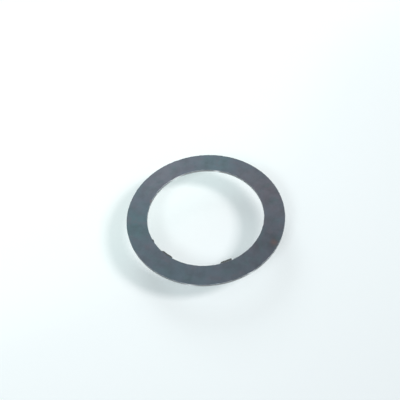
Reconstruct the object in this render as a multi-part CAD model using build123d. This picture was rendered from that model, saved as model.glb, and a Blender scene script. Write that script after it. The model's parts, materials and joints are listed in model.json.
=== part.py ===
from build123d import *

import os
from dataclasses import dataclass

# A flat shim ring for a 22 mm shaft in a 30 mm housing, punched in one piece from 0.5 mm steel strip.
# Frame: millimetres, +Z along the bore, origin at the bore's centre on the underside, which is on the ground.

# Seats that the ring slips on and into
SHAFT_DIAMETER = 22.0
HOUSING_DIAMETER = 30.0
SHAFT_CLEARANCE = 0.07
HOUSING_CLEARANCE = 0.07

# Strip
THICKNESS = 0.5

# Punched edge, from the underside up: a rolled-over corner, a burnished land, then the tapered break
ROLL_OVER = 0.04
LAND_HEIGHT = 0.20
BREAK_TAPER = 0.02

# Burr along the bore: a thin blade whose root is sunk in the ring, and whose two ends dip into it
BURR_ROOT_DEPTH = 0.14
BURR_ROOT_INSET = 0.03
BURR_ROOT_WIDTH = 0.12
BURR_TIP_WIDTH = 0.03
BURR_END_DIP = 0.12

BORE_RADIUS = (SHAFT_DIAMETER + SHAFT_CLEARANCE) / 2
RIM_RADIUS = (HOUSING_DIAMETER - HOUSING_CLEARANCE) / 2
LAND_TOP = ROLL_OVER + LAND_HEIGHT
LIP_RADIUS = BORE_RADIUS + BREAK_TAPER


@dataclass(frozen=True)
class Burr:
    """A stretch of burr that stayed on the bore's upper edge.

    start, end: angles where it leaves and meets the edge, in degrees from +X
    rise: height of its crest above the top face
    lean: how far its crest leans in past the bore's wall
    crest: the torn crest's height at even steps along the burr, as shares of the rise
    """

    start: float
    end: float
    rise: float
    lean: float
    crest: tuple[float, ...]


BURRS = (
    Burr(start=201.4, end=206.8, rise=0.25, lean=0.13, crest=(1.0, 0.85)),
    Burr(start=218.2, end=233.0, rise=0.29, lean=0.20, crest=(0.9, 1.0, 0.96, 0.93, 0.97, 1.0, 0.9)),
    Burr(start=277.6, end=291.6, rise=0.30, lean=0.25, crest=(0.72, 1.0, 1.0, 0.97, 0.98, 1.0)),
)


def punched_section() -> Sketch:
    """The ring's radial section in the XZ plane, with the bore's wall on its left."""
    with BuildSketch(Plane.XZ) as section:
        with BuildLine():
            Line((BORE_RADIUS + ROLL_OVER, 0), (RIM_RADIUS - ROLL_OVER, 0))
            RadiusArc((RIM_RADIUS - ROLL_OVER, 0), (RIM_RADIUS, ROLL_OVER), -ROLL_OVER)
            Polyline(
                (RIM_RADIUS, ROLL_OVER),
                (RIM_RADIUS, LAND_TOP),
                (RIM_RADIUS - BREAK_TAPER, THICKNESS),
                (LIP_RADIUS, THICKNESS),
                (BORE_RADIUS, LAND_TOP),
                (BORE_RADIUS, ROLL_OVER),
            )
            RadiusArc((BORE_RADIUS, ROLL_OVER), (BORE_RADIUS + ROLL_OVER, 0), -ROLL_OVER)
        make_face()
    return section.sketch


def punched_ring() -> Part:
    """The section turned once about the bore's axis."""
    return revolve(punched_section(), Axis.Z, 360)


def burr_section(burr: Burr, angle: float, share: float) -> Sketch:
    """The burr's blade on the radial plane at an angle, with its crest at a share of the full height."""
    root_radius = LIP_RADIUS + BURR_ROOT_INSET
    root_height = THICKNESS - BURR_ROOT_DEPTH
    tip_radius = LIP_RADIUS - (BREAK_TAPER + burr.lean) * share
    tip_height = THICKNESS + burr.rise * share
    with BuildSketch(Plane.XZ.rotated((0, 0, angle))) as section:
        with BuildLine():
            Polyline(
                (root_radius, root_height),
                (root_radius + BURR_ROOT_WIDTH, root_height),
                (tip_radius + BURR_TIP_WIDTH, tip_height),
                (tip_radius, tip_height),
                close=True,
            )
        make_face()
    return section.sketch


def torn_burr(burr: Burr) -> Part:
    """The blade carried along the bore's edge, from one sunk end over its torn crest to the other."""
    shares = (-BURR_END_DIP, *burr.crest, -BURR_END_DIP)
    step = (burr.end - burr.start) / (len(shares) - 1)
    sections = [burr_section(burr, burr.start + i * step, share) for i, share in enumerate(shares)]
    return loft(sections, ruled=True)


def shim_ring() -> Part:
    """The punched ring with the burrs that stayed on its bore."""
    ring = punched_ring()
    for burr in BURRS:
        ring += torn_burr(burr)
    return ring


os.makedirs("parts", exist_ok=True)
export_step(shim_ring(), "parts/shim_ring.step")
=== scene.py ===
"""Dresses a punched steel shim ring and lights it on a clear sheet over a plain pale floor.

The ring is built in millimetres and scaled to metres last, in the same frame as its CAD node: +Z along the bore,
origin at the bore's centre on the underside.
"""

from __future__ import annotations

import json
import logging
import math
from dataclasses import dataclass, field
from enum import Enum

import bmesh
import bpy
from mathutils import Matrix, Vector, noise
from mathutils.bvhtree import BVHTree

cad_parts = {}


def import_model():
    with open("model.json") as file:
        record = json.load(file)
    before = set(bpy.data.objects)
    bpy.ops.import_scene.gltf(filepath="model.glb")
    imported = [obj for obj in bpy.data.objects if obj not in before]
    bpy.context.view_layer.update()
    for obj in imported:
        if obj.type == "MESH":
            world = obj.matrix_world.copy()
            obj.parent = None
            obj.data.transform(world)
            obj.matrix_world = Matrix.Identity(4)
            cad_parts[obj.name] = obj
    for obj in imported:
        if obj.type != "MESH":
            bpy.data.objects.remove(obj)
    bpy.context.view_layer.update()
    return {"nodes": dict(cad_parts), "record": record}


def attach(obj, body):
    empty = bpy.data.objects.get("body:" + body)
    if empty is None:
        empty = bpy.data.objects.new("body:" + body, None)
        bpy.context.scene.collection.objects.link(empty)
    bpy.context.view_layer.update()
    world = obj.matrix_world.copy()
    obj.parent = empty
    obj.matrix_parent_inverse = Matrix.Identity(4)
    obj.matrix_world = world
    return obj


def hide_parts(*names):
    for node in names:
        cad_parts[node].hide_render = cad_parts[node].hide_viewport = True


LOG = logging.getLogger("shim_ring")

MM = 0.001
NODE = "shim_ring"
BODY = "root"

Colour = tuple[float, float, float]
Point = tuple[float, float, float]
Socket = bpy.types.NodeSocket
Value = Socket | Colour | Point | float

WHITE: Colour = (1.0, 1.0, 1.0)
COOL: Colour = (0.955, 1.015, 1.02)
WARM: Colour = (1.06, 0.98, 0.97)


def tone(red: int, green: int, blue: int) -> Colour:
    """Turn a paint chart's colour, from 0 to 255, into the linear one that shaders use."""
    shares = (channel / 255 for channel in (red, green, blue))
    return tuple(s / 12.92 if s <= 0.04045 else ((s + 0.055) / 1.055) ** 2.4 for s in shares)


def held(value: float) -> float:
    """Hold a value between 0 and 1."""
    return min(1.0, max(0.0, value))


def placed(name: str, data: bpy.types.ID) -> bpy.types.Object:
    """Put an object with a name and its data into the scene.

    Args:
        name: The name.
        data: A mesh, a lamp's data or a camera's.

    Returns:
        The object.
    """
    thing = bpy.data.objects.new(name, data)
    bpy.context.scene.collection.objects.link(thing)
    return thing


def finished(name: str, mesh: bmesh.types.BMesh, *materials: bpy.types.Material) -> bpy.types.Object:
    """Turn a finished mesh into an object in the scene.

    Args:
        name: The object's name.
        mesh: The mesh in metres, which is freed.
        *materials: Its materials, by slot.

    Returns:
        The object.
    """
    data = bpy.data.meshes.new(name)
    mesh.to_mesh(data)
    mesh.free()
    for material in materials:
        data.materials.append(material)
    return placed(name, data)


class Kind(Enum):
    """Socket types of a node group."""

    VALUE = "NodeSocketFloat"
    VECTOR = "NodeSocketVector"


class Course(Enum):
    """Ways for a value to go from its start to its end."""

    SMOOTH = "SMOOTHSTEP"
    STRAIGHT = "LINEAR"


class Skin(Enum):
    """Material slots of the ring's mesh."""

    OXIDE = 0
    SHEARED = 1


class NodeSheet:
    """A node tree being drawn, with a method for each kind of node that the finishes use."""

    def __init__(self, tree: bpy.types.NodeTree) -> None:
        """Take the tree that the nodes go into."""
        self.tree = tree

    def add(self, kind: str, *values: Value, **settings: object) -> bpy.types.Node:
        """Add a node.

        Args:
            kind: Blender's name for the node's class.
            *values: What to feed its inputs, from the first on.
            **settings: Properties to set on it.

        Returns:
            The new node.
        """
        node = self.tree.nodes.new(kind)
        for name, value in settings.items():
            setattr(node, name, value)
        for socket, value in zip(node.inputs, values):
            self.feed(socket, value)
        return node

    def feed(self, socket: Socket, value: Value) -> None:
        """Link a socket to an input, or set the input to a plain value.

        Args:
            socket: Input to feed.
            value: An output socket, a number, a vector or a colour.
        """
        if isinstance(value, bpy.types.NodeSocket):
            self.tree.links.new(value, socket)
        elif socket.type == "RGBA":
            socket.default_value = (*value, 1.0)
        else:
            socket.default_value = value

    def math(self, operation: str, *values: Value) -> Socket:
        """Do a sum, by Blender's name for it, with one, two or three values."""
        return self.add("ShaderNodeMath", *values, operation=operation).outputs["Value"]

    def millimetres(self) -> Socket:
        """Read the place on the object, in millimetres."""
        return self.stretched(self.add("ShaderNodeTexCoord").outputs["Object"], (1 / MM, 1 / MM, 1 / MM))

    def parts(self, place: Value) -> bpy.types.NodeOutputs:
        """Take a place apart, into the outputs X, Y and Z."""
        return self.add("ShaderNodeSeparateXYZ", place).outputs

    def distance(self, first: Value, second: Value = (0.0, 0.0, 0.0)) -> Socket:
        """Measure how far apart two places are."""
        return self.add("ShaderNodeVectorMath", first, second, operation="DISTANCE").outputs["Value"]

    def stretched(self, place: Value, factors: Point = (1.0, 1.0, 1.0), turn: float = 0.0) -> Socket:
        """Turn a place about Z and stretch it.

        Args:
            place: The place.
            factors: Factors along X, Y and Z.
            turn: Angle in degrees.

        Returns:
            The stretched place.
        """
        mapping = self.add("ShaderNodeMapping", place)
        mapping.inputs["Rotation"].default_value = (0.0, 0.0, math.radians(turn))
        mapping.inputs["Scale"].default_value = factors
        return mapping.outputs["Vector"]

    def clouds(self, place: Value, scale: Value, detail: float = 3.0, roughness: float = 0.5) -> Socket:
        """Read a noise pattern.

        Args:
            place: Position in millimetres.
            scale: Features to a millimetre.
            detail: Octaves.
            roughness: Share that each octave keeps.

        Returns:
            A value about 0.5.
        """
        node = self.add("ShaderNodeTexNoise", place)
        self.feed(node.inputs["Scale"], scale)
        self.feed(node.inputs["Detail"], detail)
        self.feed(node.inputs["Roughness"], roughness)
        return node.outputs["Fac"]

    def ease(
        self,
        value: Value,
        low: Value,
        high: Value,
        start: Value = 0.0,
        end: Value = 1.0,
        course: Course = Course.SMOOTH,
    ) -> Socket:
        """Go from start to end as a value goes from low to high, and no further."""
        node = self.add("ShaderNodeMapRange", value, low, high, start, end, interpolation_type=course.value)
        return node.outputs["Result"]

    def blend(self, share: Value, first: Value, second: Value) -> Socket:
        """Mix two colours.

        Args:
            share: Share of the second colour.
            first: First colour.
            second: Second colour.

        Returns:
            The mixed colour.
        """
        node = self.add("ShaderNodeMix", data_type="RGBA")
        by_type = {socket.identifier: socket for socket in node.inputs}
        self.feed(by_type["Factor_Float"], share)
        self.feed(by_type["A_Color"], first)
        self.feed(by_type["B_Color"], second)
        return next(socket for socket in node.outputs if socket.identifier == "Result_Color")

    def product(self, first: Value, second: Value) -> Socket:
        """Multiply two colours."""
        return self.add("ShaderNodeVectorMath", first, second, operation="MULTIPLY").outputs["Vector"]

    def ramp(self, value: Socket, stops: tuple[tuple[float, Colour], ...]) -> Socket:
        """Go straight from colour to colour as a value rises.

        Args:
            value: Value to read.
            stops: Value and colour of each stop, from the lowest.

        Returns:
            The colour.
        """
        low, high = stops[0][0], stops[-1][0]
        node = self.add("ShaderNodeValToRGB")
        elements = node.color_ramp.elements
        for _ in stops[2:]:
            elements.new(0.5)
        for element, (place, colour) in zip(elements, stops):
            element.position = (place - low) / (high - low)
            element.color = (*colour, 1.0)
        self.feed(node.inputs["Fac"], self.ease(value, low, high, course=Course.STRAIGHT))
        return node.outputs["Color"]

    def bump(self, height: Value, depth: float, strength: float) -> Socket:
        """Turn a height into a normal.

        Args:
            height: The height.
            depth: Depth from its lowest to its highest, in millimetres.
            strength: Share of it that shows.

        Returns:
            The normal.
        """
        node = self.add("ShaderNodeBump")
        node.inputs["Strength"].default_value = strength
        node.inputs["Distance"].default_value = depth * MM
        self.feed(node.inputs["Height"], height)
        return node.outputs["Normal"]

    def cover(self, share: Value, under: Socket, over: Socket) -> Socket:
        """Lay a share of one shader over another."""
        return self.add("ShaderNodeMixShader", share, under, over).outputs["Shader"]

    def seen(self) -> Socket:
        """Pick out the rays that show a surface to the camera, straight on or through gloss or glass.

        Returns:
            1 for such a ray and 0 for any other.
        """
        path = self.add("ShaderNodeLightPath")
        seen = self.math("MAXIMUM", path.outputs["Is Camera Ray"], path.outputs["Is Glossy Ray"])
        return self.math("MAXIMUM", seen, path.outputs["Is Transmission Ray"])

    def group(self, tree: bpy.types.NodeTree, **values: Value) -> Socket:
        """Place a node group that has one output.

        Args:
            tree: The group.
            **values: What to feed its inputs, by name.

        Returns:
            Its output.
        """
        node = self.add("ShaderNodeGroup", node_tree=tree)
        for name, value in values.items():
            self.feed(node.inputs[name], value)
        return node.outputs[0]


class MaterialSheet(NodeSheet):
    """A material being drawn, from the Principled shader that it starts with."""

    def __init__(self, name: str) -> None:
        """Start the material.

        Args:
            name: The material's name.
        """
        self.material = bpy.data.materials.new(name)
        self.material.use_nodes = True
        super().__init__(self.material.node_tree)
        self.shader = self.tree.nodes["Principled BSDF"]

    def show(self, shader: Socket) -> None:
        """Put a shader on the surface."""
        self.feed(self.tree.nodes["Material Output"].inputs["Surface"], shader)


class EffectSheet(NodeSheet):
    """A node group being drawn, with its named inputs and its one output."""

    def __init__(self, name: str, inputs: dict[str, Kind], output: str) -> None:
        """Start the group.

        Args:
            name: The group's name.
            inputs: Its inputs by name.
            output: Its output's name.
        """
        super().__init__(bpy.data.node_groups.new(name, "ShaderNodeTree"))
        for label, kind in inputs.items():
            self.tree.interface.new_socket(label, in_out="INPUT", socket_type=kind.value)
        self.tree.interface.new_socket(output, in_out="OUTPUT", socket_type=Kind.VALUE.value)
        self.given = self.add("NodeGroupInput").outputs
        self.result = self.add("NodeGroupOutput").inputs[output]

    def close(self, value: Socket) -> bpy.types.NodeTree:
        """Put a value out and return the finished group."""
        self.feed(self.result, value)
        return self.tree


class SteelEffects:
    """The effects that both finishes share, each a node group built once."""

    def __init__(self) -> None:
        """Build the groups."""
        self.mottle = self._mottle()
        self.tooth = self._tooth()
        self.specks = self._specks()
        self.rub = self._rub()
        self.raised = self._raised()

    @staticmethod
    def _mottle() -> bpy.types.NodeTree:
        """Build soft clouds of two sizes, as oxide and handling leave them.

        Returns:
            A group from a place to a value about 0.5.
        """
        inputs = {"Place": Kind.VECTOR, "Scale": Kind.VALUE, "Contrast": Kind.VALUE}
        sheet = EffectSheet("mottle", inputs, "Value")
        finer, fine_share = 4.3, 0.25
        broad = sheet.clouds(sheet.given["Place"], sheet.given["Scale"], detail=2.0)
        fine = sheet.clouds(sheet.given["Place"], sheet.math("MULTIPLY", sheet.given["Scale"], finer), detail=4.0)
        both = sheet.math("MULTIPLY_ADD", fine, fine_share, sheet.math("MULTIPLY", broad, 1.0 - fine_share))
        spread = sheet.math("MULTIPLY", sheet.math("SUBTRACT", both, 0.5), sheet.given["Contrast"])
        return sheet.close(sheet.math("ADD", spread, 0.5))

    @staticmethod
    def _tooth() -> bpy.types.NodeTree:
        """Build fine lines, drawn out as the stretched place is, and the matt tooth between them.

        Returns:
            A group from a plain and a stretched place to a height about 0.5.
        """
        sheet = EffectSheet("tooth", {"Place": Kind.VECTOR, "Stretched": Kind.VECTOR}, "Height")
        matt_share = 0.45
        lines = sheet.clouds(sheet.given["Stretched"], scale=1.0, detail=5.0, roughness=0.6)
        matt = sheet.clouds(sheet.given["Place"], scale=14.0, roughness=0.65)
        lined = sheet.math("MULTIPLY", lines, 1.0 - matt_share)
        return sheet.close(sheet.math("MULTIPLY_ADD", matt, matt_share, lined))

    @staticmethod
    def _specks() -> bpy.types.NodeTree:
        """Build scattered ragged specks, for rust and dirt.

        Returns:
            A group from a place to a mask.
        """
        inputs = {"Place": Kind.VECTOR, "Scale": Kind.VALUE, "Size": Kind.VALUE, "Share": Kind.VALUE}
        sheet = EffectSheet("specks", inputs, "Mask")
        cells = sheet.add("ShaderNodeTexVoronoi", sheet.given["Place"], feature="F1")
        sheet.feed(cells.inputs["Scale"], sheet.given["Scale"])
        finer, raggedness, softness = 3.0, 0.5, 0.10
        ragged = sheet.clouds(sheet.given["Place"], sheet.math("MULTIPLY", sheet.given["Scale"], finer))
        reach = sheet.math("MULTIPLY_ADD", ragged, raggedness, cells.outputs["Distance"])
        outer = sheet.math("ADD", sheet.given["Size"], raggedness / 2 + softness)
        inner = sheet.math("ADD", sheet.given["Size"], raggedness / 2 - softness)
        spot = sheet.ease(reach, outer, inner)
        lot = sheet.add("ShaderNodeSeparateColor", cells.outputs["Color"]).outputs["Red"]
        kept = sheet.math("LESS_THAN", lot, sheet.given["Share"])
        return sheet.close(sheet.math("MULTIPLY", spot, kept))

    @staticmethod
    def _rub() -> bpy.types.NodeTree:
        """Build the broken line that handling rubs along an edge.

        Returns:
            A group from a place and the distance to the edge to a mask.
        """
        inputs = {"Place": Kind.VECTOR, "Distance": Kind.VALUE, "Width": Kind.VALUE}
        sheet = EffectSheet("rub", inputs, "Mask")
        whole, worn, softness = 0.35, 0.68, 0.02
        broken = sheet.clouds(sheet.given["Place"], scale=1.1, detail=5.0, roughness=0.7)
        reach = sheet.ease(broken, whole, worn, 0.0, sheet.given["Width"])
        return sheet.close(sheet.ease(sheet.math("SUBTRACT", reach, sheet.given["Distance"]), 0.0, softness))

    @staticmethod
    def _raised() -> bpy.types.NodeTree:
        """Build the mask of what stands clear of the top face, which is the burrs.

        Returns:
            A group from a place and the top face's height to a mask.
        """
        sheet = EffectSheet("raised", {"Place": Kind.VECTOR, "Top": Kind.VALUE}, "Mask")
        foot, clear = 0.02, 0.12
        above = sheet.math("SUBTRACT", sheet.parts(sheet.given["Place"])["Z"], sheet.given["Top"])
        return sheet.close(sheet.ease(above, foot, clear))


@dataclass(frozen=True)
class RingSizes:
    """The ring's sizes in millimetres.

    Attributes:
        bore: Radius of the bore's land.
        rim: Radius of the rim's land.
        roll_over: Radius of the rolled-over corner at the underside.
        land_top: Height at which the land ends and the break begins.
        thickness: Height of the top face.
        taper: How far the break falls back from the land at the top face.
    """

    bore: float
    rim: float
    roll_over: float
    land_top: float
    thickness: float
    taper: float

    @property
    def bore_lip(self) -> float:
        """Radius of the bore's upper edge."""
        return self.bore + self.taper

    @property
    def rim_lip(self) -> float:
        """Radius of the rim's upper edge."""
        return self.rim - self.taper


class CadRing:
    """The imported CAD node, read for its sizes and for where its burrs stand."""

    def __init__(self, node: bpy.types.Object, record: dict) -> None:
        """Read the node's mesh in millimetres.

        Args:
            node: The CAD node.
            record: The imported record.
        """
        self.points = [vertex.co / MM for vertex in node.data.vertices]
        self.tree = BVHTree.FromPolygons(self.points, [tuple(face.vertices) for face in node.data.polygons])
        self.sizes = self._sizes({mount["name"]: mount for mount in record["mounts"]})

    def _sizes(self, mounts: dict[str, dict]) -> RingSizes:
        """Read the sizes off the mounts, which stand on the land, and off the rim's upper edge.

        Args:
            mounts: The record's mounts by name.

        Returns:
            The ring's sizes.
        """
        middle = mounts["bore"]["pos_m"][2] / MM
        half = mounts["bore"]["dims"]["length_mm"] / 2
        rim = mounts["rim"]["dims"]["r_mm"]
        near_rim, level = 0.5, 0.001
        outer = [point for point in self.points if point.xy.length > rim - near_rim]
        thickness = max(point.z for point in outer)
        rim_lip = max(point.xy.length for point in outer if thickness - point.z < level)
        return RingSizes(
            bore=mounts["bore"]["dims"]["r_mm"],
            rim=rim,
            roll_over=middle - half,
            land_top=middle + half,
            thickness=thickness,
            taper=rim - rim_lip,
        )

    def burr(self, angle: float, step: float = 0.005) -> tuple[float, float]:
        """Measure the burr on the bore's upper edge at an angle.

        Args:
            angle: Angle from +X in radians.
            step: Step between the heights that are tried, in millimetres.

        Returns:
            How far the burr's crest rises above the top face, and how far it leans in past the edge.
        """
        outward = Vector((math.cos(angle), math.sin(angle), 0.0))
        rise, lean = 0.0, 0.0
        while True:
            start = Vector((0.0, 0.0, self.sizes.thickness + rise + step))
            hit = self.tree.ray_cast(start, outward, self.sizes.rim)[0]
            if hit is None:
                return rise, lean
            rise += step
            lean = self.sizes.bore_lip - hit.xy.length


@dataclass(frozen=True)
class TintOrPaintedLight:
    """A soft patch where a finish has turned another colour, or where light or shade is painted on it.

    Attributes:
        angle: Where its middle lies round the ring, in degrees from +X.
        reach: How far it spreads, in millimetres.
        strength: Share of its colour in the middle.
        colour: Its linear colour.
        across: Where its middle lies across the face, from 0 at the bore to 1 at the rim.
    """

    angle: float
    reach: float
    strength: float
    colour: Colour
    across: float = 0.5

    def lay(self, sheet: NodeSheet, place: Socket, mottle: Socket, sizes: RingSizes, under: Value) -> Socket:
        """Lay the tint over a colour.

        Args:
            sheet: Sheet to draw on.
            place: Position in millimetres.
            mottle: Value about 0.5 that breaks the tint's edge up.
            sizes: The ring's sizes.
            under: Colour under the tint.

        Returns:
            The tinted colour.
        """
        raggedness, outer, inner = 0.5 * self.reach, 0.6 * self.reach, -0.4 * self.reach
        turn = math.radians(self.angle)
        radius = sizes.bore + (sizes.rim - sizes.bore) * self.across
        middle = (radius * math.cos(turn), radius * math.sin(turn), sizes.thickness / 2)
        ragged = sheet.math("MULTIPLY_ADD", mottle, -raggedness, sheet.distance(place, middle))
        share = sheet.ease(ragged, outer, inner, 0.0, self.strength)
        return sheet.blend(share, under, self.colour)


@dataclass(frozen=True)
class OxideSkin:
    """Blue-grey oxide on the rolled strip, clouded with teal and plum and rubbed bright along its edges, with
    painted sheen at the back and painted shade at the front and on the burrs.

    Attributes:
        grey: Its plain colour.
        dark: Colour of its darker blotches.
        teal: Colour that it drifts to one way.
        plum: Colour that it drifts to the other way.
        rust: Colour of its specks.
        bare: Colour where handling has rubbed it.
        burr_colour_and_shade: Colour of the burrs, olive-brown and darkened as painted shade.
        tints_and_painted_light: Patches where it has turned a colour, with painted sheen lighter at the back and
            painted shade darker at the front.
        drift: Most that teal and plum show.
        blotch: Most that the blotches show.
        rub: Width of the rubbed line along the edges in millimetres, and how much of it shows.
        speck: How much the specks show.
        burr_colour_and_shade_share: How much the burrs' colour and painted shade show.
        metallic: How metallic it is.
        rusty: How metallic its specks are.
        roughness: Its roughness.
        patchiness: How far its roughness goes up and down.
        polish: How much smoother it is where it is rubbed.
        grain_turn: Direction of the strip's rolling lines, in degrees.
        grain_stretch: Factors that draw the tooth out into those lines.
        grain_depth: Depth of those lines, in millimetres.
        grain_strength: How much they show.
    """

    grey: Colour = tone(84, 93, 103)
    dark: Colour = tone(61, 65, 68)
    teal: Colour = tone(72, 94, 97)
    plum: Colour = tone(91, 88, 96)
    rust: Colour = tone(104, 80, 72)
    bare: Colour = tone(150, 158, 162)
    burr_colour_and_shade: Colour = tone(60, 61, 57)
    # Besides teal, plum and a rust spot at 327 degrees, these patches hold painted light: lighter at the back (74
    # and 122 degrees) as painted sheen, darker at the front right (285 and 324 degrees) as painted shade.
    tints_and_painted_light: tuple[TintOrPaintedLight, ...] = (
        TintOrPaintedLight(angle=285.0, reach=7.0, strength=0.8, colour=tone(76, 87, 95)),
        TintOrPaintedLight(angle=324.0, reach=12.0, strength=0.9, colour=tone(72, 77, 85)),
        TintOrPaintedLight(angle=242.0, reach=12.0, strength=0.9, colour=tone(78, 93, 102)),
        TintOrPaintedLight(angle=182.0, reach=10.0, strength=0.9, colour=tone(73, 96, 102)),
        TintOrPaintedLight(angle=74.0, reach=7.0, strength=0.9, colour=tone(82, 102, 109)),
        TintOrPaintedLight(angle=20.0, reach=13.0, strength=0.9, colour=tone(91, 90, 98)),
        TintOrPaintedLight(angle=38.0, reach=5.0, strength=0.6, colour=tone(92, 97, 104)),
        TintOrPaintedLight(angle=122.0, reach=12.0, strength=0.7, colour=tone(96, 99, 107)),
        TintOrPaintedLight(angle=327.0, reach=1.3, strength=0.8, colour=tone(104, 83, 78), across=0.75),
    )
    drift: float = 0.42
    blotch: float = 0.38
    rub: tuple[float, float] = (0.09, 0.55)
    speck: float = 0.35
    burr_colour_and_shade_share: float = 0.75
    metallic: float = 0.8
    rusty: float = 0.4
    roughness: float = 0.40
    patchiness: float = 0.07
    polish: float = 0.12
    grain_turn: float = 8.0
    grain_stretch: Point = (0.12, 9.0, 3.0)
    grain_depth: float = 0.004
    grain_strength: float = 0.6

    def material(self, effects: SteelEffects, sizes: RingSizes) -> bpy.types.Material:
        """Build the material.

        Args:
            effects: The shared effects.
            sizes: The ring's sizes.

        Returns:
            The material.
        """
        sheet = MaterialSheet("oxide_skin")
        place = sheet.millimetres()
        colour = self._clouded(sheet, effects, place, sizes)
        width, strength = self.rub
        worn = sheet.group(effects.rub, Place=place, Distance=self._to_edge(sheet, place, sizes), Width=width)
        colour = sheet.blend(sheet.math("MULTIPLY", worn, strength), colour, self.bare)
        turned = sheet.stretched(place, turn=14.0)
        rust = sheet.group(effects.specks, Place=turned, Scale=0.35, Size=0.10, Share=0.22)
        colour = sheet.blend(sheet.math("MULTIPLY", rust, self.speck), colour, self.rust)
        # Painted shade: the burrs are darkened, along with their olive-brown tint.
        raised = sheet.group(effects.raised, Place=place, Top=sizes.thickness)
        colour = sheet.blend(sheet.math("MULTIPLY", raised, self.burr_colour_and_shade_share), colour, self.burr_colour_and_shade)
        patches = sheet.group(effects.mottle, Place=place, Scale=0.6, Contrast=1.0)
        smooth, rough = self.roughness - self.patchiness, self.roughness + self.patchiness
        roughness = sheet.math("MULTIPLY_ADD", worn, -self.polish, sheet.ease(patches, 0.25, 0.75, smooth, rough))
        lines = sheet.stretched(place, self.grain_stretch, self.grain_turn)
        grain = sheet.group(effects.tooth, Place=place, Stretched=lines)
        sheet.feed(sheet.shader.inputs["Base Color"], colour)
        sheet.feed(sheet.shader.inputs["Metallic"], sheet.ease(rust, 0.0, 1.0, self.metallic, self.rusty))
        sheet.feed(sheet.shader.inputs["Roughness"], roughness)
        sheet.feed(sheet.shader.inputs["Normal"], sheet.bump(grain, self.grain_depth, self.grain_strength))
        return sheet.material

    def _clouded(self, sheet: NodeSheet, effects: SteelEffects, place: Socket, sizes: RingSizes) -> Socket:
        """Lay the tinted patches, painted sheen and painted shade among them, on the grey, broken up by mottling,
        and darken it in blotches.

        Args:
            sheet: Sheet to draw on.
            effects: The shared effects.
            place: Position in millimetres.
            sizes: The ring's sizes.

        Returns:
            The clouded colour.
        """
        mottle = sheet.group(effects.mottle, Place=place, Scale=0.45, Contrast=2.4)
        colour = self.grey
        for tint in self.tints_and_painted_light:
            colour = tint.lay(sheet, place, mottle, sizes, colour)
        turned = sheet.stretched(place, turn=70.0)
        drift = sheet.group(effects.mottle, Place=turned, Scale=0.6, Contrast=2.4)
        colour = sheet.blend(sheet.ease(drift, 0.5, 1.0, 0.0, self.drift), colour, self.plum)
        colour = sheet.blend(sheet.ease(drift, 0.5, 0.0, 0.0, self.drift), colour, self.teal)
        shade = sheet.group(effects.mottle, Place=turned, Scale=0.65, Contrast=1.0)
        return sheet.blend(sheet.ease(shade, 0.62, 0.2, 0.0, self.blotch), colour, self.dark)

    @staticmethod
    def _to_edge(sheet: NodeSheet, place: Socket, sizes: RingSizes) -> Socket:
        """Measure how far a point is from the nearer edge of the face.

        Args:
            sheet: Sheet to draw on.
            place: Position in millimetres.
            sizes: The ring's sizes.

        Returns:
            The distance in millimetres.
        """
        radius = sheet.distance(sheet.stretched(place, (1.0, 1.0, 0.0)))
        from_bore = sheet.math("SUBTRACT", radius, sizes.bore_lip)
        from_rim = sheet.math("SUBTRACT", sizes.rim_lip, radius)
        return sheet.math("MINIMUM", from_bore, from_rim)


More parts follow.
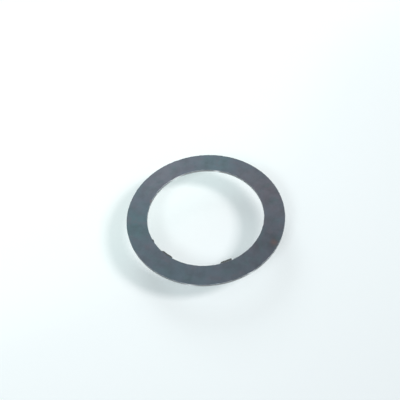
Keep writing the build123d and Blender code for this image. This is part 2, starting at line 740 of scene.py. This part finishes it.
@dataclass(frozen=True)
class ShearedSteel:
    """Bare steel where the punch went through: a bright dragged land below a grey torn break, with painted
    highlights.

    Attributes:
        land: Colour of the land.
        torn: Colour of the break.
        groove: Colour in the drag marks.
        burr_shade: Colour of the burrs, darkened as painted shade.
        rust: Colour of its stains.
        tints_and_painted_light: Painted highlights on the walls, and a stretch of the outer wall that is darker at
            the front right.
        waver: How far the line between land and break goes up and down, in millimetres.
        grooved: Most that the drag marks show.
        stained: Most that the stains show.
        burr_shade_share: How much the burrs' painted shade shows.
        metallic: How metallic it is.
        rusty: How metallic its stains are.
        land_roughness: Roughness of the land.
        torn_roughness: Roughness of the break.
        drag_stretch: Factors that draw the tooth out into the drag marks.
        drag_depth: Depth of the drag marks, in millimetres.
        drag_strength: How much that depth shows.
    """

    land: Colour = tone(178, 181, 183)
    torn: Colour = tone(126, 129, 131)
    groove: Colour = (0.08, 0.08, 0.085)
    burr_shade: Colour = tone(78, 81, 84)
    rust: Colour = tone(150, 112, 92)
    # The near-white patches are painted highlights on the walls below both upper edges; the grey one at 325
    # degrees darkens the outer wall at the front right.
    tints_and_painted_light: tuple[TintOrPaintedLight, ...] = (
        TintOrPaintedLight(angle=325.0, reach=9.0, strength=0.8, colour=tone(96, 98, 102), across=1.0),
        TintOrPaintedLight(angle=254.0, reach=2.0, strength=0.9, colour=tone(236, 238, 240), across=1.0),
        TintOrPaintedLight(angle=297.0, reach=1.5, strength=0.9, colour=tone(236, 238, 240), across=1.0),
        TintOrPaintedLight(angle=116.0, reach=3.2, strength=0.9, colour=tone(240, 242, 244), across=0.0),
        TintOrPaintedLight(angle=73.0, reach=1.1, strength=0.9, colour=tone(240, 242, 244), across=0.0),
    )
    waver: float = 0.16
    grooved: float = 0.35
    stained: float = 0.5
    burr_shade_share: float = 0.85
    metallic: float = 0.9
    rusty: float = 0.6
    land_roughness: float = 0.28
    torn_roughness: float = 0.55
    drag_stretch: Point = (11.0, 11.0, 0.6)
    drag_depth: float = 0.008
    drag_strength: float = 0.8

    def material(self, effects: SteelEffects, sizes: RingSizes) -> bpy.types.Material:
        """Build the material.

        Args:
            effects: The shared effects.
            sizes: The ring's sizes.

        Returns:
            The material.
        """
        sheet = MaterialSheet("sheared_steel")
        place = sheet.millimetres()
        below, above = -0.01, 0.02
        wavy = sheet.clouds(place, scale=0.9, detail=4.0, roughness=0.6)
        line = sheet.math("MULTIPLY_ADD", wavy, self.waver, sizes.land_top - self.waver / 2)
        torn = sheet.ease(sheet.math("SUBTRACT", sheet.parts(place)["Z"], line), below, above)
        drag = sheet.group(effects.tooth, Place=place, Stretched=sheet.stretched(place, self.drag_stretch))
        colour = sheet.blend(torn, self.land, self.torn)
        colour = sheet.blend(sheet.ease(drag, 0.55, 0.3, 0.0, self.grooved), colour, self.groove)
        stain = sheet.group(effects.mottle, Place=place, Scale=0.4, Contrast=1.6)
        for tint in self.tints_and_painted_light:
            colour = tint.lay(sheet, place, stain, sizes, colour)
        colour = sheet.blend(sheet.ease(stain, 0.6, 1.0, 0.0, self.stained), colour, self.rust)
        # Painted shade: the burrs' sheared flanks are darkened.
        raised = sheet.group(effects.raised, Place=place, Top=sizes.thickness)
        colour = sheet.blend(sheet.math("MULTIPLY", raised, self.burr_shade_share), colour, self.burr_shade)
        roughness = sheet.ease(torn, 0.0, 1.0, self.land_roughness, self.torn_roughness)
        sheet.feed(sheet.shader.inputs["Base Color"], colour)
        sheet.feed(sheet.shader.inputs["Metallic"], sheet.ease(stain, 0.6, 1.0, self.metallic, self.rusty))
        sheet.feed(sheet.shader.inputs["Roughness"], roughness)
        sheet.feed(sheet.shader.inputs["Normal"], sheet.bump(drag, self.drag_depth, self.drag_strength))
        return sheet.material


@dataclass(frozen=True)
class PunchedRing:
    """The ring, punched from strip: rolled-over lower corners, crisp upper edges and burrs on the bore.

    Attributes:
        cad: The CAD ring that it stands for.
        steps: Segments round the ring.
        crisp: Radius of the upper edges, in millimetres.
        wall_lines: Depths below the top face of the loops round the walls, in millimetres.
        face_lines: Widths of the bands at the top face's two edges, in millimetres.
        blade_depth: How far down the wall a burr pulls the metal, in millimetres.
        blade_width: How far across the face a burr pulls the metal, in millimetres.
        fray: Share of its height that a burr's torn crest loses at the deepest tears.
        fringe_rise: Height of the low fringe that runs along both upper edges, in millimetres.
        fringe_lean: How far that fringe leans over the walls, in millimetres.
        fringe_grain: Ragged places to a millimetre of the fringe, coarse and fine.
        fray_grain: Tears to a millimetre of a burr's crest.
        full_rise: Height from which a burr's crest is frayed in full, in millimetres.
        curl: Power by which a burr's lean grows towards its crest.
        pit_depth: Depth of the pits in the break, in millimetres.
        pit_grain: Pits to a millimetre.
        margin: How far above the land the pits begin, and twice how far they reach onto the face, in millimetres.
        crease: Angle between faces past which an edge stays sharp, in degrees.
        mesh: The mesh that it is built in.
    """

    cad: CadRing
    steps: int = 1200
    crisp: float = 0.012
    wall_lines: tuple[float, ...] = (0.03, 0.05, 0.09, 0.14, 0.20)
    face_lines: tuple[float, ...] = (0.02, 0.02, 0.04, 0.07)
    blade_depth: float = 0.09
    blade_width: float = 0.05
    fray: float = 0.15
    fringe_rise: float = 0.03
    fringe_lean: float = 0.05
    fringe_grain: tuple[float, float] = (1.7, 6.1)
    fray_grain: float = 3.1
    full_rise: float = 0.1
    curl: float = 1.25
    pit_depth: float = 0.010
    pit_grain: float = 2.6
    margin: float = 0.01
    crease: float = 35.0
    mesh: bmesh.types.BMesh = field(default_factory=bmesh.new)

    def build(self, oxide: OxideSkin, sheared: ShearedSteel, effects: SteelEffects) -> bpy.types.Object:
        """Build the ring and dress it.

        Args:
            oxide: Finish of the strip's faces.
            sheared: Finish of the punched walls.
            effects: The shared effects.

        Returns:
            The finished object, in metres.
        """
        self._spin_section()
        self._round_corners()
        self._line_walls()
        self._line_face()
        self._choose_skins()
        self._raise_burrs()
        self._tear_break()
        self._sharpen()
        bmesh.ops.scale(self.mesh, vec=(MM, MM, MM), verts=self.mesh.verts)
        skins = (skin.material(effects, self.cad.sizes) for skin in (oxide, sheared))
        return finished("punched_ring", self.mesh, *skins)

    def _spin_section(self) -> None:
        """Spin the punched section once round the bore."""
        s = self.cad.sizes
        corners = (
            (s.bore, 0.0),
            (s.rim, 0.0),
            (s.rim, s.land_top),
            (s.rim_lip, s.thickness),
            (s.bore_lip, s.thickness),
            (s.bore, s.land_top),
        )
        verts = [self.mesh.verts.new((radius, 0.0, height)) for radius, height in corners]
        edges = [self.mesh.edges.new((a, b)) for a, b in zip(verts, verts[1:] + verts[:1])]
        bmesh.ops.spin(
            self.mesh,
            geom=[*verts, *edges],
            cent=(0.0, 0.0, 0.0),
            axis=(0.0, 0.0, 1.0),
            angle=math.tau,
            steps=self.steps,
            use_merge=True,
        )
        bmesh.ops.recalc_face_normals(self.mesh, faces=self.mesh.faces)

    def _round_corners(self) -> None:
        """Roll over the lower corners and take the knife edge off the upper ones."""
        for height, radius, segments in (
            (0.0, self.cad.sizes.roll_over, 4),
            (self.cad.sizes.thickness, self.crisp, 2),
        ):
            rings = [edge for edge in self.mesh.edges if self._runs_round(edge, height)]
            bmesh.ops.bevel(
                self.mesh,
                geom=rings,
                offset=radius,
                offset_type="OFFSET",
                segments=segments,
                profile=0.5,
                affect="EDGES",
                material=-1,
            )

    @staticmethod
    def _runs_round(edge: bmesh.types.BMEdge, height: float) -> bool:
        """Tell whether an edge runs round the ring at a height.

        Args:
            edge: The edge.
            height: The height in millimetres.

        Returns:
            True if it does.
        """
        off_level, off_circle = 1e-5, 1e-4
        first, second = (vertex.co for vertex in edge.verts)
        level = all(abs(point.z - height) < off_level for point in (first, second))
        return level and abs(first.xy.length - second.xy.length) < off_circle

    def _line_walls(self) -> None:
        """Cut the loops round both walls that the burrs and the torn break need."""
        for depth in self.wall_lines:
            bmesh.ops.bisect_plane(
                self.mesh,
                geom=[*self.mesh.verts, *self.mesh.edges, *self.mesh.faces],
                plane_co=(0.0, 0.0, self.cad.sizes.thickness - depth),
                plane_no=(0.0, 0.0, 1.0),
            )

    def _line_face(self) -> None:
        """Cut the loops along both edges of the top face."""
        level = 0.99
        top = [face for face in self.mesh.faces if face.normal.z > level]
        for width in self.face_lines:
            bmesh.ops.inset_region(self.mesh, faces=top, thickness=width, use_even_offset=True, use_boundary=True)

    def _choose_skins(self) -> None:
        """Give the walls the sheared skin, and leave the oxide on the rest."""
        slope = 0.5
        for face in self.mesh.faces:
            steep = abs(face.normal.z) < slope
            above = face.calc_center_median().z > self.cad.sizes.roll_over
            face.material_index = (Skin.SHEARED if steep and above else Skin.OXIDE).value

    def _raise_burrs(self) -> None:
        """Draw the metal at both upper edges up and over the walls, into a low fringe and the CAD ring's burrs."""
        s = self.cad.sizes
        crests: dict[tuple[bool, int], tuple[float, float]] = {}
        for vertex in self.mesh.verts:
            radius = vertex.co.xy.length
            on_bore = radius < (s.bore + s.rim) / 2
            onto_face = radius - s.bore_lip if on_bore else s.rim_lip - radius
            across = max(0.0, onto_face - self.crisp) / self.blade_width
            depth = (s.thickness - vertex.co.z) / self.blade_depth
            if across >= 1.0 or depth >= 1.0:
                continue
            angle = math.atan2(vertex.co.y, vertex.co.x)
            step = (on_bore, round(angle / math.tau * self.steps * 2))
            if step not in crests:
                crests[step] = self._crest(angle, on_bore)
            rise, lean = crests[step]
            pull = (1.0 - across) * (1.0 - depth)
            share = (-lean if on_bore else lean) * pull**self.curl / radius
            vertex.co += Vector((vertex.co.x * share, vertex.co.y * share, rise * pull))

    def _crest(self, angle: float, on_bore: bool) -> tuple[float, float]:
        """Find how far the metal at an upper edge is drawn at an angle.

        Args:
            angle: Angle from +X in radians.
            on_bore: True at the bore, False at the rim.

        Returns:
            Its rise above the face and its lean over the wall, in millimetres.
        """
        s = self.cad.sizes
        spot = Vector((math.cos(angle), math.sin(angle), 0.0)) * (s.bore if on_bore else s.rim)
        fine_share, least_lean = 0.6, 0.4
        coarse, fine = (noise.noise(spot * grain) for grain in self.fringe_grain)
        ragged = held(0.5 + coarse + fine_share * fine)
        rise, lean = self.fringe_rise * ragged, self.fringe_lean * (least_lean + (1 - least_lean) * ragged)
        if not on_bore:
            return rise, lean
        burr_rise, burr_lean = self.cad.burr(angle)
        frayed = held(0.5 + noise.noise(spot * self.fray_grain)) * held(burr_rise / self.full_rise)
        tear = 1.0 - self.fray * frayed
        return max(rise, burr_rise * tear), max(lean, burr_lean)

    def _tear_break(self) -> None:
        """Pull small pits into the break above the land."""
        s, spread = self.cad.sizes, 0.35
        for vertex in self.mesh.verts:
            radius = vertex.co.xy.length
            if vertex.co.z < s.land_top + self.margin or self._inside(radius):
                continue
            pit = self.pit_depth * held(noise.noise(vertex.co * self.pit_grain) + spread)
            outward = pit if radius < (s.bore + s.rim) / 2 else -pit
            share = 1.0 + outward / radius
            vertex.co.x *= share
            vertex.co.y *= share

    def _inside(self, radius: float) -> bool:
        """Tell whether a radius is on the face, clear of both edges."""
        return self.cad.sizes.bore_lip + self.margin / 2 < radius < self.cad.sizes.rim_lip - self.margin / 2

    def _sharpen(self) -> None:
        """Shade the ring smoothly between its crisp edges."""
        for face in self.mesh.faces:
            face.smooth = True
        for edge in self.mesh.edges:
            edge.smooth = edge.calc_face_angle(0.0) < math.radians(self.crease)


@dataclass(frozen=True)
class SoftLamp:
    """A square lamp behind a soft box, aimed at the ring.

    Attributes:
        name: What it is called.
        azimuth: Where it stands round the ring, in degrees from +X.
        elevation: How high it stands, in degrees above the floor.
        distance: How far it stands from the ring, in metres.
        width: Side of the soft box, in metres.
        share: Share of a white floor's full light that it gives.
        colour: Its linear colour.
    """

    name: str
    azimuth: float
    elevation: float
    distance: float
    width: float
    share: float
    colour: Colour = COOL

    def hang(self) -> bpy.types.Object:
        """Hang the lamp.

        Returns:
            The lamp.
        """
        azimuth, elevation = math.radians(self.azimuth), math.radians(self.elevation)
        level = math.cos(elevation)
        toward = Vector((level * math.cos(azimuth), level * math.sin(azimuth), math.sin(elevation)))
        data = bpy.data.lights.new(self.name, "AREA")
        data.size = self.width
        data.color = self.colour
        # Straight above, an energy of pi squared times the distance squared lights a white floor in full.
        data.energy = self.share * math.pi**2 * self.distance**2 / math.sin(elevation)
        lamp = placed(self.name, data)
        lamp.rotation_mode = "QUATERNION"
        lamp.rotation_quaternion = toward.to_track_quat("Z", "Y")
        lamp.location = toward * self.distance
        return lamp


@dataclass(frozen=True)
class Viewpoint:
    """Where the camera stands.

    Attributes:
        aim: Point on the top face's plane that it looks at, in millimetres.
        distance: Distance from that point, in millimetres.
        elevation: Angle above the floor, in degrees, looking along +Y.
        roll: Turn about its own line of sight, in degrees.
        lens: Focal length on a 36 mm wide sensor, in millimetres.
    """

    aim: Point = (-0.685, 3.740, 0.5)
    distance: float = 124.0
    elevation: float = 53.108
    roll: float = -6.321
    lens: float = 58.04

    def stand(self) -> None:
        """Stand the camera there and make it the scene's."""
        tilt = Matrix.Rotation(math.radians(90 - self.elevation), 4, "X")
        roll = Matrix.Rotation(math.radians(self.roll), 4, "Z")
        turn = tilt @ roll
        back = turn.to_3x3() @ Vector((0.0, 0.0, 1.0))
        data = bpy.data.cameras.new("camera")
        data.sensor_width = 36.0
        data.lens = self.lens
        data.clip_start, data.clip_end = 0.001, 3.0
        camera = placed("camera", data)
        camera.matrix_world = Matrix.Translation((Vector(self.aim) + back * self.distance) * MM) @ turn
        bpy.context.scene.camera = camera


@dataclass(frozen=True)
class FloorPaintAndLight:
    """Paint of the floor, pale at the front right and white at the back left, which fades out far away; that
    change from pale to white is painted light.

    It glows with a share of its colour for the camera, in shadow and light alike: painted light that keeps its
    shadows pale and cool.
    Places are in millimetres from the ring's middle, along paling.

    Attributes:
        paling: Direction in which it goes from pale to white, in degrees from +X.
        paint_and_light_stops: Its colours from the front right to the back left, each with its place, painted
            light rising from pale to white.
        bend: How far the bands of colour bend back at both sides, in millimetres.
        bend_span: Distances to the side between which they bend, in millimetres.
        glow: Share of its colour that shows anyhow as a painted glow, at the front right and at the back left.
        glow_span: Places between which that share goes up.
        tints_and_painted_light: Factors on the colour of that painted glow, at the front right and at the back
            left.
        tint_span: Places between which they change.
        fade_span: Distances from the middle between which the floor fades out, in millimetres.
        roughness: Its roughness.
    """

    paling: float = 126.8
    # Painted light: the floor's colour rises from pale at the front right to white at the back left.
    paint_and_light_stops: tuple[tuple[float, Colour], ...] = (
        (-60.0, tone(227, 232, 235)),
        (-4.0, tone(243, 249, 251)),
        (12.0, tone(251, 255, 255)),
        (30.0, tone(255, 255, 255)),
    )
    bend: float = 12.0
    bend_span: tuple[float, float] = (15.0, 65.0)
    glow: tuple[float, float] = (0.33, 0.42)
    glow_span: tuple[float, float] = (-4.0, 17.0)
    tints_and_painted_light: tuple[Colour, Colour] = ((1.0, 1.08, 1.08), (1.04, 1.2, 1.2))
    tint_span: tuple[float, float] = (-2.0, 9.0)
    fade_span: tuple[float, float] = (150.0, 840.0)
    roughness: float = 0.9

    def material(self) -> bpy.types.Material:
        """Build the material.

        Returns:
            The material.
        """
        sheet = MaterialSheet("floor_paint")
        sheet.shader.inputs["Roughness"].default_value = self.roughness
        sheet.shader.inputs["Specular IOR Level"].default_value = 0.0
        place = sheet.millimetres()
        along = sheet.parts(sheet.stretched(place, turn=-self.paling))
        bend = sheet.ease(sheet.math("ABSOLUTE", along["Y"]), *self.bend_span, 0.0, -self.bend)
        band = sheet.math("ADD", along["X"], bend)
        colour = sheet.ramp(band, self.paint_and_light_stops)
        sheet.feed(sheet.shader.inputs["Base Color"], colour)
        # Painted light: the floor glows for the camera with a share of its colour, more and cooler at the back
        # left.
        tint = sheet.blend(sheet.ease(band, *self.tint_span), *self.tints_and_painted_light)
        glow = sheet.add("ShaderNodeEmission", sheet.product(colour, tint))
        share = sheet.math("MULTIPLY", sheet.seen(), sheet.ease(band, *self.glow_span, *self.glow))
        lit = sheet.cover(share, sheet.shader.outputs["BSDF"], glow.outputs["Emission"])
        fade = sheet.ease(sheet.distance(place), *self.fade_span)
        clear = sheet.add("ShaderNodeBsdfTransparent")
        sheet.show(sheet.cover(fade, lit, clear.outputs["BSDF"]))
        return sheet.material


@dataclass(frozen=True)
class ClearPlastic:
    """Clear plastic that only shows in the faint reflections on its upper side, and throws no shadow.

    Attributes:
        sheen: Most that it mirrors.
        ior: Index of refraction that its reflections follow.
    """

    sheen: float = 0.25
    ior: float = 1.3

    def material(self) -> bpy.types.Material:
        """Build the material.

        Returns:
            The material.
        """
        sheet = MaterialSheet("clear_plastic")
        gloss = sheet.add("ShaderNodeBsdfGlossy", WHITE)
        gloss.inputs["Roughness"].default_value = 0.0
        fresnel = sheet.add("ShaderNodeFresnel", self.ior)
        path = sheet.add("ShaderNodeLightPath")
        side = sheet.add("ShaderNodeNewGeometry")
        hidden = sheet.math("MAXIMUM", path.outputs["Is Shadow Ray"], side.outputs["Backfacing"])
        faint = sheet.math("MINIMUM", fresnel.outputs["Fac"], self.sheen)
        share = sheet.math("MULTIPLY", faint, sheet.math("SUBTRACT", 1.0, hidden))
        clear = sheet.add("ShaderNodeBsdfTransparent")
        sheet.show(sheet.cover(share, clear.outputs["BSDF"], gloss.outputs["BSDF"]))
        sheet.tree.nodes.remove(sheet.shader)
        return sheet.material


@dataclass(frozen=True)
class Studio:
    """A plain pale floor under a clear sheet, in plain soft light.

    Attributes:
        floor_paint_and_light: Paint of the floor, with its painted light and glow.
        plastic: What the clear sheet is made of.
        gap: Depth of the floor below the ring, in millimetres.
        sunk: Depth of the clear sheet below the ring, in millimetres, which keeps the two apart.
        reach: Radius of the floor and of the sheet, in metres.
        sky: Share of a white floor's full light that the surroundings give.
        cool: Colour of that light.
        lamps: The lamps.
    """

    floor_paint_and_light: FloorPaintAndLight = FloorPaintAndLight()
    plastic: ClearPlastic = ClearPlastic()
    gap: float = 4.35
    sunk: float = 0.02
    reach: float = 1.2
    sky: float = 0.30
    cool: Colour = COOL
    lamps: tuple[SoftLamp, ...] = (
        SoftLamp("key", azimuth=-10.4, elevation=43.6, distance=1.2, width=0.32, share=0.43, colour=WARM),
        SoftLamp("fill", azimuth=102.2, elevation=29.4, distance=1.2, width=0.53, share=0.14),
        SoftLamp("front", azimuth=-125.5, elevation=46.0, distance=1.2, width=0.33, share=0.17),
    )

    def set_up(self) -> None:
        """Lay the floor and the clear sheet, hang the lamps and light the surroundings.

        The lamps spare the clear sheet, so that it doesn't mirror their squares.
        """
        bpy.context.scene.view_settings.view_transform = "Standard"
        floor = self._disc("floor", self.gap, self.floor_paint_and_light.material())
        sheet = self._disc("clear_sheet", self.sunk, self.plastic.material())
        spared = bpy.data.collections.new("spared_by_lamps")
        spared.objects.link(sheet)
        spared.collection_objects[0].light_linking.link_state = "EXCLUDE"
        for lamp in self.lamps:
            lamp.hang().light_linking.receiver_collection = spared
        self._surroundings()

    def _disc(self, name: str, depth: float, material: bpy.types.Material) -> bpy.types.Object:
        """Lay a level disc.

        Args:
            name: Its name.
            depth: Its depth below the ring, in millimetres.
            material: Its material.

        Returns:
            The disc.
        """
        mesh = bmesh.new()
        level = Matrix.Translation((0.0, 0.0, -depth * MM))
        bmesh.ops.create_circle(mesh, cap_ends=True, segments=96, radius=self.reach, matrix=level)
        return finished(name, mesh, material)

    def _surroundings(self) -> None:
        """Light everything evenly from all round, and show white wherever the surroundings are seen."""
        world = bpy.data.worlds.new("surroundings")
        world.use_nodes = True
        bpy.context.scene.world = world
        sheet = NodeSheet(world.node_tree)
        background = sheet.tree.nodes["Background"]
        seen = sheet.seen()
        sheet.feed(background.inputs["Color"], sheet.blend(seen, self.cool, WHITE))
        sheet.feed(background.inputs["Strength"], sheet.ease(seen, 0.0, 1.0, self.sky, 1.0))


def main() -> None:
    """Build the ring, dress it and set up the studio."""
    logging.basicConfig(level=logging.INFO, format="%(name)s: %(message)s")
    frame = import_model()
    cad = CadRing(frame["nodes"][NODE], frame["record"])
    LOG.info("sizes %s", cad.sizes)
    ring = PunchedRing(cad).build(OxideSkin(), ShearedSteel(), SteelEffects())
    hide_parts(NODE)
    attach(ring, BODY)
    LOG.info("punched ring: %d faces", len(ring.data.polygons))
    Studio().set_up()
    LOG.info("studio set up")
    Viewpoint().stand()
    LOG.info("camera stands")


if __name__ == "__main__":
    main()
